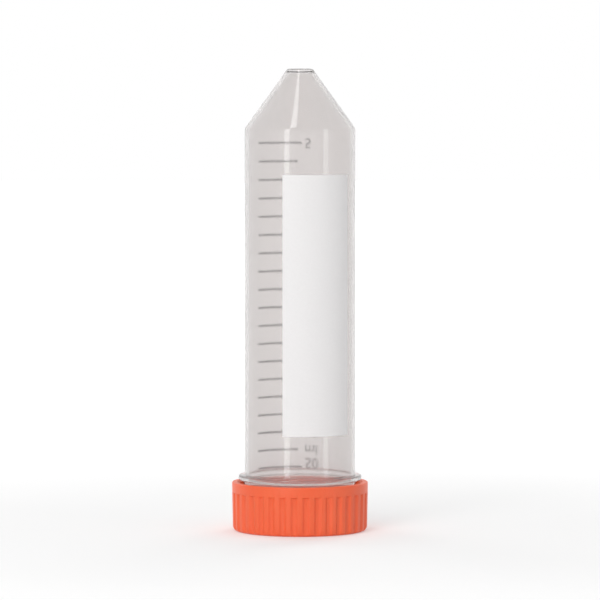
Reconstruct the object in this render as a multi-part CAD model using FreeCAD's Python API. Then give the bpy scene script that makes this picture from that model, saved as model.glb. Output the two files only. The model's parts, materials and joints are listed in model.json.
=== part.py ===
"""50 ml conical tube with its screw cap, standing upside down on the cap's flat top.

Millimetres, +Z up. The origin is the centre of the cap's flat top, and +Z runs along the axis to
the tip of the cone. The writing panel faces -Y and the volume scale faces +Y.
Heights that belong to the tube's inside are counted from the tip and turned into Z by above_tip().
"""
import FreeCAD, Part
import math
import os

from FreeCAD import Vector

# Overall
overall_h = 117.0        # cap's flat top to the tip
flats_per_corner = 3     # a round corner is drawn as flats, each within 0.05 mm of its arc

# Cap: one moulding
cap_h = 12.4
cap_wall = 1.85          # bore to the ribs' tops, at the skirt's edge
cap_draft_deg = 1.0      # the grip widens towards the skirt's edge
cap_roof = 1.6
cap_edge_radius = 1.2    # round edge between the flat top and the grip
skirt_chamfer = 0.3
rib_count = 36
flute_depth = 0.45       # the ribs are what the flutes leave standing
flute_w = 1.9            # across the flute at the ribs' tops
flute_floor_w = 0.8
plain_band_h = 2.5       # bare band at the skirt's edge, level with the ribs
skirt_lead_in = 0.5      # chamfer at the mouth of the cap's bore

# Seal ring moulded inside the cap
plug_h = 3.0
plug_wall = 0.9
plug_lead_in = 0.5       # chamfer at the ring's free end
plug_clearance = 0.2     # to the tube's mouth, per side

# Tube: one moulding. Its bore narrows towards the cone, so that the core pulls out
body_d = 28.0
neck_step = 0.2          # the neck stands this far outside the body
neck_wall = 0.9
body_wall = 1.05         # at the cone
rim_chamfer = 0.25
cone_h = 15.0
tip_d = 6.4
cone_wall = 1.0
tip_wall = 1.3
shoulder_radius = 1.5
tip_radius = 1.0

# Bead just past the skirt's edge
bead_h = 1.4
bead_step = 1.6          # the bead stands this far outside the body
bead_gap = 0.4           # to the skirt's edge
bead_chamfer = 0.4

# Outer thread on the neck
thread_depth = 0.85
thread_pitch = 3.0
thread_turns = 1.5
thread_root_w = 1.5
thread_crest_w = 0.6
thread_start = 1.8       # rim to the middle of the first thread
thread_clearance = 0.35  # crests to the cap's bore, per side
thread_sink = 0.2        # how far the ridge's foot reaches into the wall

# Print on the outer wall
ink_h = 0.05
panel_w = 18.6           # round the wall
panel_to_tip = 26.6
panel_to_bead = 10.7
mark_w = 0.5             # thickness of a scale line
mark_left = 8.3          # from the scale's middle to a line's left end, with the cap uppermost
short_mark_right = 4.3
long_mark_right = 5.4
first_mark_ml = 5.0
mark_step_ml = 2.5

# Worked out
body_r = body_d / 2
neck_r = body_r + neck_step
mouth_bore_r = neck_r - neck_wall
root_bore_r = body_r - body_wall
tip_r = tip_d / 2
bead_r = body_r + bead_step
plug_r = mouth_bore_r - plug_clearance
cap_bore_r = neck_r + thread_depth + thread_clearance
cap_r = cap_bore_r + cap_wall
rim_z = cap_roof
bead_z = cap_h + bead_gap
bead_top_z = bead_z + bead_h
shoulder_z = overall_h - cone_h
cone_slope = (body_r - tip_r) / cone_h
AXIS = Vector(0, 0, 1)
ORIGIN = Vector(0, 0, 0)


def above_tip(height):
    """Z of a point that lies this far above the tip, with the cap uppermost."""
    return overall_h - height


def corner_point(corner):
    """Point of a corner in the XZ plane."""
    return Vector(corner[0], 0, corner[1])


def finished_corner(before, corner, after):
    """Points that take the place of one corner of an outline.

    A corner is (r, z) where it stays sharp, or (r, z, finish, size): a chamfer's size is its length
    along each side, and a round corner's is its radius.
    """
    point = corner_point(corner)
    if len(corner) == 2:
        return [point]
    finish, size = corner[2:]
    back = (corner_point(before) - point).normalize()
    ahead = (corner_point(after) - point).normalize()
    if finish == "chamfer":
        return [point + back * size, point + ahead * size]
    half_angle = back.getAngle(ahead) / 2
    setback = size / math.tan(half_angle)
    inward = (back + ahead).normalize()
    middle = point + inward * (size / math.sin(half_angle) - size)
    arc = Part.Arc(point + back * setback, middle, point + ahead * setback)
    return arc.discretize(flats_per_corner + 1)


def turned(corners):
    """Solid of revolution about Z of an outline with finished corners."""
    outline = []
    for i, corner in enumerate(corners):
        outline += finished_corner(corners[i - 1], corner, corners[(i + 1) % len(corners)])
    return Part.Face(Part.makePolygon(outline + outline[:1])).revolve(ORIGIN, AXIS, 360)


def cap_side_r(z):
    """Radius of the grip over its ribs at height z."""
    return cap_r - (cap_h - z) * math.tan(math.radians(cap_draft_deg))


def cap_blank():
    """Turned form of the cap: flat roof, drafted skirt, bore and seal ring."""
    return turned([
        (0, 0),
        (cap_side_r(0), 0, "round", cap_edge_radius),
        (cap_r, cap_h, "chamfer", skirt_chamfer),
        (cap_bore_r, cap_h, "chamfer", skirt_lead_in),
        (cap_bore_r, cap_roof),
        (plug_r, cap_roof),
        (plug_r, cap_roof + plug_h, "chamfer", plug_lead_in),
        (plug_r - plug_wall, cap_roof + plug_h),
        (plug_r - plug_wall, cap_roof),
        (0, cap_roof),
    ])


def flute():
    """Trapezoid cutter that lies along the drafted grip and stops at the plain band.

    Its flanks run on as far outside the grip as they cut into it, and it starts a cap's height
    below the cap.
    """
    outer_w = flute_w + (flute_w - flute_floor_w)
    section = [
        Vector(cap_r - flute_depth, -flute_floor_w / 2, -cap_h),
        Vector(cap_r + flute_depth, -outer_w / 2, -cap_h),
        Vector(cap_r + flute_depth, outer_w / 2, -cap_h),
        Vector(cap_r - flute_depth, flute_floor_w / 2, -cap_h),
    ]
    length = cap_h + cap_h - plain_band_h
    cutter = Part.Face(Part.makePolygon(section + section[:1])).extrude(Vector(0, 0, length))
    cutter.rotate(Vector(cap_r, 0, cap_h), Vector(0, 1, 0), cap_draft_deg)
    return cutter


def make_cap():
    """Cap with its flutes cut half a pitch off the X axis, so that a rib lies on each axis."""
    flutes = []
    for i in range(rib_count):
        cutter = flute()
        cutter.rotate(ORIGIN, AXIS, (i + 0.5) * 360 / rib_count)
        flutes.append(cutter)
    return cap_blank().cut(flutes)


def inner_cone_r(height):
    """Radius of the inner cone at a height above the tip."""
    return tip_r + cone_slope * height - cone_wall * math.hypot(1, cone_slope)


def inner_shoulder_height():
    """Height above the tip at which the inner cone meets the bore."""
    return (root_bore_r - inner_cone_r(0)) / cone_slope


def tube_blank():
    """Turned form of the tube: rim, neck, bead, body, cone and flat tip around one drafted bore."""
    return turned([
        (mouth_bore_r, rim_z, "chamfer", rim_chamfer),
        (neck_r, rim_z, "chamfer", rim_chamfer),
        (neck_r, bead_z),
        (bead_r, bead_z, "chamfer", bead_chamfer),
        (bead_r, bead_top_z, "chamfer", bead_chamfer),
        (body_r, bead_top_z),
        (body_r, shoulder_z, "round", shoulder_radius),
        (tip_r, overall_h, "round", tip_radius),
        (0, overall_h),
        (0, above_tip(tip_wall)),
        (inner_cone_r(tip_wall), above_tip(tip_wall)),
        (root_bore_r, above_tip(inner_shoulder_height())),
    ])


def make_thread():
    """Right-handed ridge round the neck, with its two ends rounded."""
    foot_r = neck_r - thread_sink
    crest_r = neck_r + thread_depth
    flank_slope = (thread_root_w - thread_crest_w) / 2 / thread_depth
    foot_w = thread_root_w + 2 * flank_slope * thread_sink
    corners = [
        Vector(foot_r, 0, -foot_w / 2),
        Vector(crest_r, 0, -thread_crest_w / 2),
        Vector(crest_r, 0, thread_crest_w / 2),
        Vector(foot_r, 0, foot_w / 2),
    ]
    section = Part.makePolygon(corners + corners[:1])
    length = thread_pitch * thread_turns
    path = Part.makeHelix(thread_pitch, length, neck_r)
    ridge = Part.Wire(path).makePipeShell([section], True, True)
    for turns in (0, thread_turns):
        end = Part.makeCone(foot_w / 2, thread_crest_w / 2, crest_r - foot_r,
                            Vector(foot_r, 0, turns * thread_pitch), Vector(1, 0, 0))
        end.rotate(ORIGIN, AXIS, turns * 360)
        ridge = ridge.fuse(end)
    ridge.translate(Vector(0, 0, rim_z + thread_start))
    return ridge


def make_tube():
    """Tube with its thread."""
    return tube_blank().fuse(make_thread())


def on_wall(middle_angle, left, right, low_z, high_z):
    """Thin curved field of ink on the body's outer wall.

    Left and right are lengths round the wall from the middle, as seen with the cap uppermost.
    """
    section = Part.makePolygon([
        Vector(body_r, 0, low_z),
        Vector(body_r + ink_h, 0, low_z),
        Vector(body_r + ink_h, 0, high_z),
        Vector(body_r, 0, high_z),
        Vector(body_r, 0, low_z),
    ])
    field = Part.Face(section).revolve(ORIGIN, AXIS, math.degrees((left + right) / body_r))
    field.rotate(ORIGIN, AXIS, middle_angle - math.degrees(right / body_r))
    return field


def make_panel():
    """White writing panel, facing -Y."""
    return on_wall(-90, panel_w / 2, panel_w / 2, bead_top_z + panel_to_bead, above_tip(panel_to_tip))


def frustum_volume(low_r, height, slope):
    """Volume over a flat bottom of radius low_r, with sides that open by slope."""
    return math.pi * ((low_r + slope * height) ** 3 - low_r ** 3) / (3 * slope)


def fill_height(volume_ml):
    """Height above the tip to which a volume fills the bore, past the cone."""
    shoulder = inner_shoulder_height()
    in_cone = frustum_volume(inner_cone_r(tip_wall), shoulder - tip_wall, cone_slope)
    rest = volume_ml * 1000 - in_cone
    bore_h = above_tip(rim_z) - shoulder
    bore_slope = (mouth_bore_r - root_bore_r) / bore_h
    cube = root_bore_r ** 3 + 3 * bore_slope * rest / math.pi
    return shoulder + (cube ** (1 / 3) - root_bore_r) / bore_slope


def make_marks():
    """Scale lines, facing +Y, at the heights that their volumes fill, as far as the bead.

    Every second line is longer.
    """
    marks = []
    z = above_tip(fill_height(first_mark_ml))
    while z - mark_w / 2 > bead_top_z:
        right = short_mark_right if len(marks) % 2 else long_mark_right
        marks.append(on_wall(90, mark_left, right, z - mark_w / 2, z + mark_w / 2))
        z = above_tip(fill_height(first_mark_ml + len(marks) * mark_step_ml))
    return Part.makeCompound(marks)


def main():
    os.makedirs("parts", exist_ok=True)
    nodes = {
        "cap": make_cap(),
        "tube": make_tube(),
        "marking_panel": make_panel(),
        "graduation_marks": make_marks(),
    }
    for name, shape in nodes.items():
        shape.exportStep(f"parts/{name}.step")
        print(name, "solids", len(shape.Solids), "volume", round(shape.Volume, 1), "valid", shape.isValid())


main()
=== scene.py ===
"""50 ml conical tube with its screw cap, standing upside down on the cap's flat top.

Metres, +Z up. The writing panel faces -Y and the volume scale faces +Y.
"""

import json
import math

import bmesh
import bpy
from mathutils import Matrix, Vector


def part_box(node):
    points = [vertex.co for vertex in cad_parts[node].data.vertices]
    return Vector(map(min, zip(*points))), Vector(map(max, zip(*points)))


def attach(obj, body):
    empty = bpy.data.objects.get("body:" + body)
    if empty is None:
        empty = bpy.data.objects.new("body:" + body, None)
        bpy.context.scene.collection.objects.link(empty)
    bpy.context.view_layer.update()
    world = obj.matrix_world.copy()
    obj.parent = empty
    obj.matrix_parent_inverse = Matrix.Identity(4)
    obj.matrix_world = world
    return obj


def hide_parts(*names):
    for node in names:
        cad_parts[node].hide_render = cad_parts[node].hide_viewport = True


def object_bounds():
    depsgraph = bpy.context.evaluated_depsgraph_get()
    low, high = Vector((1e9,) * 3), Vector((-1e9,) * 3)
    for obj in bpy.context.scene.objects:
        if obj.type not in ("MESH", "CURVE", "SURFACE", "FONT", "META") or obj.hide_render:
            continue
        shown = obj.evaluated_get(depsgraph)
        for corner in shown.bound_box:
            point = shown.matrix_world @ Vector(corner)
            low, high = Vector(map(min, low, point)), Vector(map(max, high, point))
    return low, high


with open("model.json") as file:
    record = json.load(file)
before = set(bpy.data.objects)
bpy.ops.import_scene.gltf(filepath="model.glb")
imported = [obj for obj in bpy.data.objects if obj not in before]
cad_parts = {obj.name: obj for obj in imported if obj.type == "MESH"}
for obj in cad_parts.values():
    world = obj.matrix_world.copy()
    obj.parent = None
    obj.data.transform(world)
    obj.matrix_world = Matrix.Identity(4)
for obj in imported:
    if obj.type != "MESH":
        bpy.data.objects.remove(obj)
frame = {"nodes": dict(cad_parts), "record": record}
cad_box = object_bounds()

mm = 0.001

# What the frame gives
cap_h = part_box("cap")[1].z
cap_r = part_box("cap")[1].x
rim_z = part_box("tube")[0].z
tip_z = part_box("tube")[1].z
bead_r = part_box("tube")[1].x
body_r = next(m["dims"]["r_mm"] for m in frame["record"]["mounts"] if m["name"] == "tube_body") * mm

# Cap
cap_wall = 1.85 * mm             # bore to the ribs' tops, at the skirt's edge
bore_r = cap_r - cap_wall
grip_draft = math.radians(1.0)
top_edge_round = 1.2 * mm
skirt_edge_round = 0.3 * mm
lead_in = 0.5 * mm               # chamfer at the mouth of the bore
bore_foot_round = 0.3 * mm

# Grip
ribs = 36
columns_per_rib = 16
flute_depth = 0.45 * mm
flute_floor_half = 0.3 * mm
flute_mouth_half = 1.05 * mm
flute_rings = (2.5 * mm, 6 * mm)         # heights of the grip's rings below the run-out
band_z = cap_h - 2.5 * mm        # the plain band runs from here to the skirt's edge
run_out_h = 0.35 * mm            # over this height a flute rises to the band
run_out_rings = (1, 0.7, 0.4, 0.15, 0)   # shares of it, each with a ring
least_press = 0.001 * mm         # what would move less stays

# Tube
neck_r = body_r + 0.2 * mm
mouth_r = neck_r - 0.9 * mm
root_r = body_r - 1.05 * mm      # bore where it meets the cone
cone_h = 15.0 * mm
cone_wall = 1.0 * mm
tip_r = 3.2 * mm
tip_wall = 1.3 * mm
bead_z = cap_h + 0.4 * mm
bead_top_z = bead_z + 1.4 * mm
tip_round = 1.0 * mm
shoulder_round = 1.5 * mm
bead_round = 0.45 * mm
body_foot_round = 0.3 * mm       # between the body and the bead
neck_foot_round = 0.2 * mm       # between the bead and the neck
rim_outer_round = 0.25 * mm
rim_inner_round = 0.3 * mm
inner_shoulder_round = 1.2 * mm
inner_tip_round = 0.8 * mm
tube_columns = 256

# Seal ring inside the cap
ring_r = mouth_r - 0.2 * mm
ring_inner_r = ring_r - 0.9 * mm
ring_end_z = rim_z + 3.0 * mm
ring_foot_round = 0.2 * mm
ring_outer_round = 0.35 * mm
ring_inner_round = 0.25 * mm
roof_round = 0.3 * mm

# Dimple that the injection gate leaves in the tip and in the cap's top
gate_r = 0.9 * mm
gate_depth = 0.25 * mm

# Threads, both right-handed
thread_pitch = 3.0 * mm
thread_turns = 1.5
thread_depth = 0.85 * mm
thread_root_w = 1.5 * mm
thread_crest_w = 0.6 * mm
thread_sink = 0.2 * mm           # how far a ridge's foot reaches into the wall
thread_foot_w = thread_root_w + (thread_root_w - thread_crest_w) * thread_sink / thread_depth
thread_edge_round = 0.18 * mm
thread_start_z = rim_z + 1.8 * mm
cap_thread_start_z = thread_start_z + thread_pitch / 2   # the two interlock, as on a closed cap
cap_thread_crest_r = neck_r + 0.25 * mm
steps_per_turn = 96
thread_steps = round(steps_per_turn * thread_turns)
taper_steps = steps_per_turn // 12
blunt_end = 0.15                 # share of its section that is left where a ridge ends

# Print
ink_h = 0.05 * mm
ink_gap = 0.01 * mm              # air under the film, so that it never meets the wall face to face
ink_step = math.radians(1.5)
ml_per_figure = 5
figure_h = 2.7 * mm
digit_share = 0.72               # a digit's share of the letters' nominal size
figure_left = 6.3 * mm           # from the scale's middle, round the wall
figure_above_bead = 0.35 * mm

# How finely a round corner is drawn, and how near to each other two points become one
steps_per_corner = 6
weld = 0.001 * mm

# Sockets of a Mix node: the two colours that go in, and the one that comes out
first_colour, second_colour, mixed_colour = 6, 7, 2

# Studio
middle = (cad_box[0] + cad_box[1]) / 2
camera_azimuth = -20
camera_elevation = 3
camera_distance = 1.0
shown_h = 0.152                  # height of the view, at the tube
room_light = 0.45                # share of the room's white that lights things
table_light = 0.7                # the same share of the table's glow
near_glow = 0.24                 # the table's glow at the tube, where the room's white is 1
table_r = 4.0
shadow_r = 0.05                  # out to here the table stays as it is at the tube
white_r = 0.30                   # and from here on it looks like the room


def start_clean():
    """Leaves edit mode and selects nothing, so that an operator acts on the new piece alone."""
    if bpy.context.mode != "OBJECT":
        bpy.ops.object.mode_set(mode="OBJECT")
    bpy.ops.object.select_all(action="DESELECT")


def take(piece):
    """Makes this the only piece that operators act on."""
    start_clean()
    piece.select_set(True)
    bpy.context.view_layer.objects.active = piece


def face_outwards():
    """Turns all faces of the piece in edit mode outwards, and leaves edit mode."""
    bpy.ops.mesh.select_all(action="SELECT")
    bpy.ops.mesh.normals_make_consistent(inside=False)
    bpy.ops.object.mode_set(mode="OBJECT")


def smooth(piece, degrees):
    """Shades a piece smooth, apart from its edges that are sharper than this."""
    take(piece)
    bpy.ops.object.shade_smooth_by_angle(angle=math.radians(degrees))


def angle_of(point):
    """Angle of a point round the axis, from X to Y."""
    return math.atan2(point.y, point.x)


def turn_selected(angle):
    """Turns what is selected in edit mode round the axis, from X to Y."""
    bpy.ops.transform.rotate(value=-angle, orient_axis="Z", center_override=(0, 0, 0))


def rounded(corners):
    """Outline with its corners rounded. A corner is (radius, height) or (radius, height, rounding)."""
    points = []
    for i, corner in enumerate(corners):
        point = Vector(corner[:2])
        if len(corner) == 2:
            points.append(point)
            continue
        rounding = corner[2]
        back = (Vector(corners[i - 1][:2]) - point).normalized()
        ahead = (Vector(corners[i + 1][:2]) - point).normalized()
        half = back.angle(ahead) / 2
        centre = point + (back + ahead).normalized() * rounding / math.sin(half)
        first = (point + back * rounding / math.tan(half) - centre).normalized()
        last = (point + ahead * rounding / math.tan(half) - centre).normalized()
        for step in range(steps_per_corner + 1):
            points.append(centre + rounding * first.slerp(last, step / steps_per_corner))
    return points


def turned(name, outline, columns):
    """Closed turned shell, drawn out ring by ring from a disc: the outline runs from disc to disc."""
    start_clean()
    radius, height = outline[0]
    bpy.ops.mesh.primitive_circle_add(vertices=columns, radius=radius, fill_type="NGON")
    piece = bpy.context.object
    piece.name = name
    bpy.ops.object.mode_set(mode="EDIT")
    bpy.ops.transform.translate(value=(0, 0, height))
    for next_radius, next_height in outline[1:]:
        bpy.ops.mesh.extrude_region_move(TRANSFORM_OT_translate={"value": (0, 0, next_height - height)})
        growth = next_radius / radius
        bpy.ops.transform.resize(value=(growth, growth, 1), center_override=(0, 0, 0))
        radius, height = next_radius, next_height
    face_outwards()
    return piece


def add_section(radius, z, width, height):
    """Upright rectangle over the X axis with its middle at this radius and height.

    It is left in edit mode, selected all over.
    """
    start_clean()
    bpy.ops.mesh.primitive_plane_add(size=1, rotation=(math.pi / 2, 0, 0))
    bpy.ops.object.transform_apply(location=False, rotation=True, scale=False)
    bpy.ops.object.mode_set(mode="EDIT")
    bpy.ops.transform.resize(value=(width, 1, height))
    bpy.ops.transform.translate(value=(radius, 0, z))
    return bpy.context.object


def ridge_share(step):
    """How much of its full section a ridge has at this step: it tapers towards both ends."""
    from_end = min(step, thread_steps - step) / taper_steps
    return blunt_end + (1 - blunt_end) * math.sin(math.pi / 2 * min(1, from_end))


def add_ridge(piece, foot_r, crest_r, start_z):
    """Winds a right-handed ridge with tapered ends round the axis and joins it to the piece.

    Right-handed with the cap uppermost and upside down alike: it climbs as it turns from X to Y.
    """
    ridge = add_section((foot_r + crest_r) / 2, start_z, abs(crest_r - foot_r), thread_foot_w)
    mesh = bmesh.from_edit_mesh(ridge.data)
    for vertex in mesh.verts:
        vertex.select_set(abs(vertex.co.x - crest_r) < abs(vertex.co.x - foot_r))
    mesh.select_flush(False)
    bpy.ops.transform.resize(value=(1, 1, thread_crest_w / thread_foot_w),
                             center_override=(crest_r, 0, start_z))
    bpy.ops.mesh.bevel(affect="VERTICES", offset=thread_edge_round, segments=4)
    bpy.ops.mesh.select_all(action="SELECT")
    turn = math.tau / steps_per_turn
    climb = thread_pitch / steps_per_turn
    share = 1
    for step in range(thread_steps + 1):
        if step > 0:
            bpy.ops.mesh.extrude_region_move(TRANSFORM_OT_translate={"value": (0, 0, climb)})
            turn_selected(turn)
        growth = ridge_share(step) / share
        share = ridge_share(step)
        angle = step * turn
        foot = (foot_r * math.cos(angle), foot_r * math.sin(angle), start_z + step * climb)
        bpy.ops.transform.resize(value=(growth, growth, growth), center_override=foot)
    face_outwards()
    take(piece)
    union = piece.modifiers.new("ridge", "BOOLEAN")
    union.operation = "UNION"
    union.solver = "MANIFOLD"
    union.object = ridge
    bpy.ops.object.modifier_apply(modifier=union.name)
    bpy.data.objects.remove(ridge)


def grip_r(z):
    """Radius of the cap over its ribs."""
    return cap_r - (cap_h - z) * math.tan(grip_draft)


def flute_share(distance):
    """How much of the flute's depth is cut this far from its middle, round the grip."""
    across = (abs(distance) - flute_floor_half) / (flute_mouth_half - flute_floor_half)
    return (1 + math.cos(math.pi * min(1, max(0, across)))) / 2


def fluted_r(angle, z):
    """Radius of the cap with its flutes, which lie half a pitch off the X axis."""
    pitch = math.tau / ribs
    from_middle = (angle % pitch - pitch / 2) * cap_r
    run_out = min(1, max(0, (band_z - z) / run_out_h))
    return grip_r(z) - flute_depth * flute_share(from_middle) * math.sin(math.pi / 2 * run_out)


def press_flutes(cap):
    """Presses the flutes into the grip. All points that move in by the same share go at once."""
    take(cap)
    bpy.ops.object.mode_set(mode="EDIT")
    pressed = {}
    for vertex in bmesh.from_edit_mesh(cap.data).verts:
        radius = vertex.co.xy.length
        target_r = fluted_r(angle_of(vertex.co), vertex.co.z)
        if target_r < radius - least_press:
            pressed.setdefault(round(target_r / radius, 5), []).append(vertex.index)
    for share, vertices in pressed.items():
        bpy.ops.mesh.select_all(action="DESELECT")
        mesh = bmesh.from_edit_mesh(cap.data)
        mesh.verts.ensure_lookup_table()
        for index in vertices:
            mesh.verts[index].select_set(True)
        bpy.ops.transform.resize(value=(share, share, 1), center_override=(0, 0, 0))
    start_clean()


def make_cap():
    """Cap, drawn from its flat top up the grip, down the bore and over the seal ring to the roof."""
    grip_rings = [*flute_rings, *(band_z - share * run_out_h for share in run_out_rings)]
    cap = turned("cap_moulding", rounded([
        (gate_r - gate_depth, gate_depth),
        (gate_r, 0),
        (2 * gate_r, 0),
        (grip_r(0), 0, top_edge_round),
        *((grip_r(z), z) for z in grip_rings),
        (cap_r, cap_h, skirt_edge_round),
        (bore_r + lead_in, cap_h),
        (bore_r, cap_h - lead_in),
        (bore_r, rim_z, bore_foot_round),
        (ring_r, rim_z, ring_foot_round),
        (ring_r, ring_end_z, ring_outer_round),
        (ring_inner_r, ring_end_z, ring_inner_round),
        (ring_inner_r, rim_z, roof_round),
        (gate_r, rim_z),
    ]), ribs * columns_per_rib)
    press_flutes(cap)
    add_ridge(cap, bore_r + thread_sink, cap_thread_crest_r, cap_thread_start_z)
    smooth(cap, 40)
    return cap


def make_tube():
    """Tube, drawn from its tip down the outside, round the rim and up the bore."""
    slope = (body_r - tip_r) / cone_h
    inner_tip_r = tip_r + slope * tip_wall - cone_wall * math.hypot(1, slope)
    inner_tip_z = tip_z - tip_wall
    inner_shoulder_z = inner_tip_z - (root_r - inner_tip_r) / slope
    tube = turned("tube_moulding", rounded([
        (gate_r - gate_depth, tip_z - gate_depth),
        (gate_r, tip_z),
        (2 * gate_r, tip_z),
        (tip_r, tip_z, tip_round),
        (body_r, tip_z - cone_h, shoulder_round),
        (body_r, bead_top_z, body_foot_round),
        (bead_r, bead_top_z, bead_round),
        (bead_r, bead_z, bead_round),
        (neck_r, bead_z, neck_foot_round),
        (neck_r, rim_z, rim_outer_round),
        (mouth_r, rim_z, rim_inner_round),
        (root_r, inner_shoulder_z, inner_shoulder_round),
        (inner_tip_r, inner_tip_z, inner_tip_round),
        (gate_r, inner_tip_z),
    ]), tube_columns)
    add_ridge(tube, neck_r - thread_sink, neck_r + thread_depth, thread_start_z)
    smooth(tube, 30)
    return tube


def spun_print(name, start_angle, end_angle, low_z, high_z):
    """Field of ink on the tube's wall, spun from its own thin section."""
    middle_r = body_r + (ink_h + ink_gap) / 2
    field = add_section(middle_r, (low_z + high_z) / 2, ink_h - ink_gap, high_z - low_z)
    field.name = name
    turn_selected(start_angle)
    bpy.ops.mesh.spin(steps=round((end_angle - start_angle) / ink_step), angle=start_angle - end_angle,
                      center=(0, 0, 0), axis=(0, 0, 1))
    bpy.ops.mesh.select_all(action="SELECT")
    bpy.ops.mesh.remove_doubles(threshold=weld)
    face_outwards()
    return field


def make_panel():
    """White writing panel, as wide and high as the frame has it."""
    low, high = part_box("marking_panel")
    half = math.asin(high.x / (body_r + ink_h))
    panel = spun_print("writing_panel", -math.pi / 2 - half, -math.pi / 2 + half, low.z, high.z)
    smooth(panel, 30)
    return panel


def scale_levels():
    """(low, high, first angle, last angle) of each scale line of the frame, from the cap's side up."""
    by_height = {}
    for vertex in frame["nodes"]["graduation_marks"].data.vertices:
        by_height.setdefault(round(vertex.co.z, 5), []).append(angle_of(vertex.co))
    heights = sorted(by_height)
    return [(low, high, min(by_height[low]), max(by_height[low]))
            for low, high in zip(heights[::2], heights[1::2])]


def join(name, parts):
    """Makes one piece of several."""
    take(parts[0])
    for part in parts:
        part.select_set(True)
    bpy.ops.object.join()
    parts[0].name = name
    return parts[0]


def make_lines(levels):
    """All lines of the scale."""
    lines = join("scale_lines", [
        spun_print("line", first, last, low, high) for low, high, first, last in levels])
    smooth(lines, 30)
    return lines


def lettering(name, words, z, wall):
    """Film of printed letters on the wall, read with the cap uppermost."""
    start_clean()
    bpy.ops.object.text_add()
    letters = bpy.context.object
    letters.name = name
    letters.data.body = words
    letters.data.size = figure_h / digit_share
    letters.data.align_y = "CENTER"
    letters.data.align_x = "CENTER"
    bpy.ops.object.convert(target="MESH")
    angle = math.pi / 2 - (figure_left + letters.dimensions.x / 2) / body_r
    letters.rotation_euler = (-math.pi / 2, 0, angle - math.pi / 2)
    letters.location = ((body_r + ink_h) * math.cos(angle), (body_r + ink_h) * math.sin(angle), z)
    bpy.ops.object.transform_apply(location=True, rotation=True, scale=True)
    bpy.ops.object.mode_set(mode="EDIT")
    bpy.ops.mesh.select_all(action="SELECT")
    bpy.ops.mesh.remove_doubles(threshold=weld)
    bpy.ops.object.mode_set(mode="OBJECT")
    wrap = letters.modifiers.new("wrap", "SHRINKWRAP")
    wrap.target = wall
    wrap.wrap_method = "NEAREST_SURFACEPOINT"
    wrap.wrap_mode = "ABOVE_SURFACE"
    wrap.offset = ink_h
    bpy.ops.object.modifier_apply(modifier=wrap.name)
    film = letters.modifiers.new("film", "SOLIDIFY")
    film.thickness = ink_h - ink_gap
    film.offset = -1
    bpy.ops.object.modifier_apply(modifier=film.name)
    return letters


def make_figures(levels, wall):
    """5 to 50 beside the long lines, counted from the tip. The 50 stands clear of the bead."""
    lowest = bead_top_z + figure_above_bead + figure_h / 2
    figures = []
    for count, (low, high, _, _) in enumerate(levels[::-2], start=1):
        words = str(count * ml_per_figure)
        figures.append(lettering("figure", words, max(lowest, (low + high) / 2), wall))
    return join("scale_figures", figures)


def make_unit(levels, wall):
    """ml beside the short line that is nearest to the cap."""
    low, high = levels[1][:2]
    return lettering("scale_unit", "ml", (low + high) / 2, wall)


def srgb(code):
    """Linear colour from an sRGB hex value."""
    parts = [int(code[i:i + 2], 16) / 255 for i in (1, 3, 5)]
    return [p / 12.92 if p <= 0.04045 else ((p + 0.055) / 1.055) ** 2.4 for p in parts] + [1.0]


def add_node(tree, kind, inputs=None, **settings):
    """Adds a node. An input goes by its name or number, and is a value or another node's output."""
    made = tree.nodes.new(kind)
    for name, value in settings.items():
        setattr(made, name, value)
    for name, value in (inputs or {}).items():
        if isinstance(value, bpy.types.NodeSocket):
            tree.links.new(value, made.inputs[name])
        else:
            made.inputs[name].default_value = value
    return made


def new_material(name):
    """Material without nodes yet, and the tree that they go into."""
    material = bpy.data.materials.new(name)
    material.use_nodes = True
    material.node_tree.nodes.clear()
    return material, material.node_tree


def natural_polypropylene():
    """Natural polypropylene, injection moulded and not clarified: clear enough to read the scale
    through it, with a slight milky haze and soft streaks of flow along the tube. To a lamp's light
    it is nearly all clear, so that the print's back and the cap's inside aren't left dark."""
    material, tree = new_material("natural_polypropylene_moulded")
    place = add_node(tree, "ShaderNodeTexCoord").outputs["Object"]
    flow = add_node(tree, "ShaderNodeMapping", {"Vector": place, "Scale": (1, 1, 0.08)})
    streaks = add_node(tree, "ShaderNodeTexNoise", {
        "Vector": flow.outputs["Vector"], "Scale": 1 / (4 * mm), "Detail": 3.0})
    gloss = add_node(tree, "ShaderNodeMapRange", {
        "Value": streaks.outputs["Fac"], "To Min": 0.06, "To Max": 0.13})
    waves = add_node(tree, "ShaderNodeBump", {
        "Height": streaks.outputs["Fac"], "Strength": 0.12, "Distance": 0.05 * mm})
    wall = add_node(tree, "ShaderNodeBsdfPrincipled", {
        "Base Color": srgb("#E6E3E2"), "Roughness": gloss.outputs["Result"], "IOR": 1.49,
        "Transmission Weight": 0.91, "Normal": waves.outputs["Normal"]})
    passed = add_node(tree, "ShaderNodeBsdfTransparent", {"Color": srgb("#FDFCFC")})
    ray = add_node(tree, "ShaderNodeLightPath")
    both = add_node(tree, "ShaderNodeMixShader", {
        "Fac": ray.outputs["Is Shadow Ray"], 1: wall.outputs["BSDF"], 2: passed.outputs["BSDF"]})
    add_node(tree, "ShaderNodeOutputMaterial", {"Surface": both.outputs["Shader"]})
    return material


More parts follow.
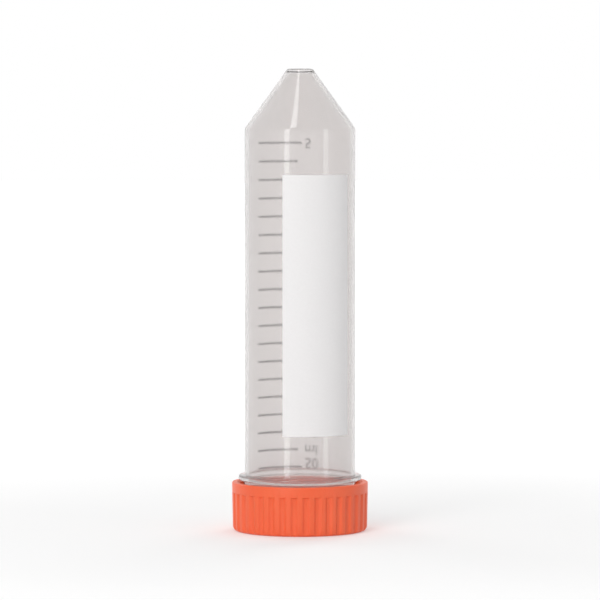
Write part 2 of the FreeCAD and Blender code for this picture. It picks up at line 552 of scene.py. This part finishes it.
def coloured_polyethylene():
    """Cap in coloured high-density polyethylene, injection moulded: waxy, softly glossy, with light
    sinking a little way in. The mould's grain is drawn coarser than it is, so that it shows."""
    material, tree = new_material("orange_red_polyethylene_moulded")
    place = add_node(tree, "ShaderNodeTexCoord").outputs["Object"]
    clouds = add_node(tree, "ShaderNodeTexNoise", {
        "Vector": place, "Scale": 1 / (6 * mm), "Detail": 3.0})
    colour = add_node(tree, "ShaderNodeMix", {
        "Factor": clouds.outputs["Fac"], first_colour: srgb("#E6592E"), second_colour: srgb("#EC6538")},
        data_type="RGBA")
    grain = add_node(tree, "ShaderNodeTexNoise", {
        "Vector": place, "Scale": 1 / (0.25 * mm), "Detail": 2.0})
    gloss = add_node(tree, "ShaderNodeMapRange", {
        "Value": grain.outputs["Fac"], "To Min": 0.36, "To Max": 0.46})
    skin = add_node(tree, "ShaderNodeBump", {
        "Height": grain.outputs["Fac"], "Strength": 0.10, "Distance": 0.02 * mm})
    body = add_node(tree, "ShaderNodeBsdfPrincipled", {
        "Base Color": colour.outputs[mixed_colour], "Roughness": gloss.outputs["Result"], "IOR": 1.52,
        "Subsurface Weight": 0.15, "Subsurface Radius": (1.0, 0.35, 0.2), "Subsurface Scale": 1.0 * mm,
        "Normal": skin.outputs["Normal"]})
    add_node(tree, "ShaderNodeOutputMaterial", {"Surface": body.outputs["BSDF"]})
    return material


def printed_ink(name, thin, thick, roughness, let_through):
    """Screen-printed ink: matt, a little uneven where the screen's mesh left less of it, and thin
    enough for some light to come through, so that its back is not black inside the clear tube. The
    mesh is drawn coarser than it is, so that it shows."""
    material, tree = new_material(name)
    place = add_node(tree, "ShaderNodeTexCoord").outputs["Object"]
    mesh_marks = add_node(tree, "ShaderNodeTexNoise", {
        "Vector": place, "Scale": 1 / (0.5 * mm), "Detail": 3.0})
    colour = add_node(tree, "ShaderNodeMix", {
        "Factor": mesh_marks.outputs["Fac"], first_colour: srgb(thin), second_colour: srgb(thick)},
        data_type="RGBA")
    skin = add_node(tree, "ShaderNodeBump", {
        "Height": mesh_marks.outputs["Fac"], "Strength": 0.10, "Distance": 0.01 * mm})
    ink = add_node(tree, "ShaderNodeBsdfPrincipled", {
        "Base Color": colour.outputs[mixed_colour], "Roughness": roughness,
        "Normal": skin.outputs["Normal"]})
    glow = add_node(tree, "ShaderNodeBsdfTranslucent", {"Color": colour.outputs[mixed_colour]})
    film = add_node(tree, "ShaderNodeMixShader", {
        "Fac": let_through, 1: ink.outputs["BSDF"], 2: glow.outputs["BSDF"]})
    add_node(tree, "ShaderNodeOutputMaterial", {"Surface": film.outputs["Shader"]})
    return material


def finish_piece(piece, material, slot, body, *nodes):
    """Gives a piece its material, and says what it replaces and which body it rides. The slot is not
    used.
    """
    piece.data.materials.clear()
    piece.data.materials.append(material)
    if nodes:
        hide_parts(*nodes)
    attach(piece, body)


def seen_by_eye_or_gloss(tree):
    """1 for rays from the eye, from gloss and through clear plastic, and 0 for rays that light things."""
    ray = add_node(tree, "ShaderNodeLightPath")
    seen = ray.outputs["Is Camera Ray"]
    for other in ("Is Glossy Ray", "Is Transmission Ray"):
        either = add_node(tree, "ShaderNodeMath", {0: seen, 1: ray.outputs[other]}, operation="MAXIMUM")
        seen = either.outputs["Value"]
    return seen


def make_room():
    """Plain room: it looks white, and lights from all round at less than that."""
    world = bpy.data.worlds.new("white_room")
    bpy.context.scene.world = world
    world.use_nodes = True
    tree = world.node_tree
    tree.nodes.clear()
    strength = add_node(tree, "ShaderNodeMapRange", {
        "Value": seen_by_eye_or_gloss(tree), "To Min": room_light, "To Max": 1.0})
    air = add_node(tree, "ShaderNodeBackground", {
        "Color": (1, 1, 1, 1), "Strength": strength.outputs["Result"]})
    add_node(tree, "ShaderNodeOutputWorld", {"Surface": air.outputs["Background"]})


def make_table():
    """White table that keeps the shadow near the tube and turns into the white room further out.

    Out there its own colour fades, so that gloss and clear plastic show it no brighter than the room.
    """
    start_clean()
    bpy.ops.mesh.primitive_circle_add(vertices=128, radius=table_r, fill_type="NGON")
    table = bpy.context.object
    table.name = "table"
    material, tree = new_material("white_laminate_table")
    place = add_node(tree, "ShaderNodeTexCoord").outputs["Object"]
    distance = add_node(tree, "ShaderNodeVectorMath", {0: place}, operation="LENGTH")
    away = add_node(tree, "ShaderNodeMapRange", {
        "Value": distance.outputs["Value"], "From Min": shadow_r, "From Max": white_r},
        interpolation_type="SMOOTHSTEP")
    colour = add_node(tree, "ShaderNodeMix", {
        "Factor": away.outputs["Result"], first_colour: srgb("#DCDCDC"), second_colour: srgb("#000000")},
        data_type="RGBA")
    glow = add_node(tree, "ShaderNodeMapRange", {
        "Value": away.outputs["Result"], "To Min": near_glow, "To Max": 1.0})
    share = add_node(tree, "ShaderNodeMapRange", {
        "Value": seen_by_eye_or_gloss(tree), "To Min": table_light, "To Max": 1.0})
    shown = add_node(tree, "ShaderNodeMath", {
        0: glow.outputs["Result"], 1: share.outputs["Result"]}, operation="MULTIPLY")
    laminate = add_node(tree, "ShaderNodeBsdfPrincipled", {
        "Base Color": colour.outputs[mixed_colour], "Roughness": 0.8, "Emission Color": (1, 1, 1, 1),
        "Emission Strength": shown.outputs["Value"]})
    add_node(tree, "ShaderNodeOutputMaterial", {"Surface": laminate.outputs["BSDF"]})
    table.data.materials.append(material)


def stand_round(thing, azimuth, elevation, distance):
    """Stands a lamp or camera round the object, facing its middle: azimuth 0 is the panel's side."""
    a, e = math.radians(azimuth), math.radians(elevation)
    direction = Vector((math.sin(a) * math.cos(e), -math.cos(a) * math.cos(e), math.sin(e)))
    thing.location = middle + direction * distance
    thing.rotation_euler = direction.to_track_quat("Z", "Y").to_euler()


def add_softbox(name, turn, elevation, distance, width, height, power, mirrored):
    """Softbox, turned this far from the camera's azimuth.

    None shows through the tube, and one that isn't mirrored doesn't show in gloss either.
    """
    bpy.ops.object.light_add(type="AREA")
    lamp = bpy.context.object
    lamp.name = name
    lamp.data.shape = "RECTANGLE"
    lamp.data.size = width
    lamp.data.size_y = height
    lamp.data.energy = power
    lamp.visible_camera = False
    lamp.visible_glossy = mirrored
    lamp.visible_transmission = False
    stand_round(lamp, camera_azimuth + turn, elevation, distance)


def add_camera():
    """Camera that sees the whole tube from nearly level."""
    bpy.ops.object.camera_add()
    camera = bpy.context.object
    camera.data.lens = camera.data.sensor_width * camera_distance / shown_h
    camera.data.clip_start = 0.01
    stand_round(camera, camera_azimuth, camera_elevation, camera_distance)
    bpy.context.scene.camera = camera


def make_studio():
    """White room and table, the lamps and the camera."""
    bpy.context.scene.view_settings.view_transform = "Standard"
    make_room()
    make_table()
    for softbox in (
        # name, degrees from the camera and up, distance, width, height, watts, mirrored
        ("key_softbox", -27, 12, 0.90, 0.18, 0.7, 1.3, True),
        ("key_spread", -27, 12, 0.91, 0.52, 0.8, 0.7, True),
        ("key_fill", -27, 20, 1.00, 0.60, 0.6, 2.7, False),
        ("fill_softbox", 55, 12, 1.00, 0.20, 0.7, 0.9, True),
        ("back_left_fill", 150, 12, 1.00, 0.50, 0.7, 3.6, False),
        ("back_right_fill", 220, 12, 1.00, 0.50, 0.7, 3.6, False),
        ("top_front_softbox", -24, 66, 1.00, 0.14, 0.5, 1.0, True),
        ("top_back_softbox", 156, 66, 1.00, 0.14, 0.5, 0.8, True),
    ):
        add_softbox(*softbox)
    add_camera()


tube = make_tube()
cap = make_cap()
panel = make_panel()
levels = scale_levels()
lines = make_lines(levels)
figures = make_figures(levels, tube)
unit = make_unit(levels, tube)

clear = natural_polypropylene()
orange = coloured_polyethylene()
white_ink = printed_ink("white_screen_ink", "#F0EFEF", "#F6F5F5", roughness=0.55, let_through=0.28)
black_ink = printed_ink("black_screen_ink", "#46444A", "#35343A", roughness=0.5, let_through=0.05)
finish_piece(tube, clear, "clear_polypropylene", "tube", "tube")
finish_piece(cap, orange, "moulded_cap", "cap", "cap")
finish_piece(panel, white_ink, "white_ink", "tube", "marking_panel")
finish_piece(lines, black_ink, "black_ink", "tube", "graduation_marks")
finish_piece(figures, black_ink, "black_ink", "tube")
finish_piece(unit, black_ink, "black_ink", "tube")
make_studio()
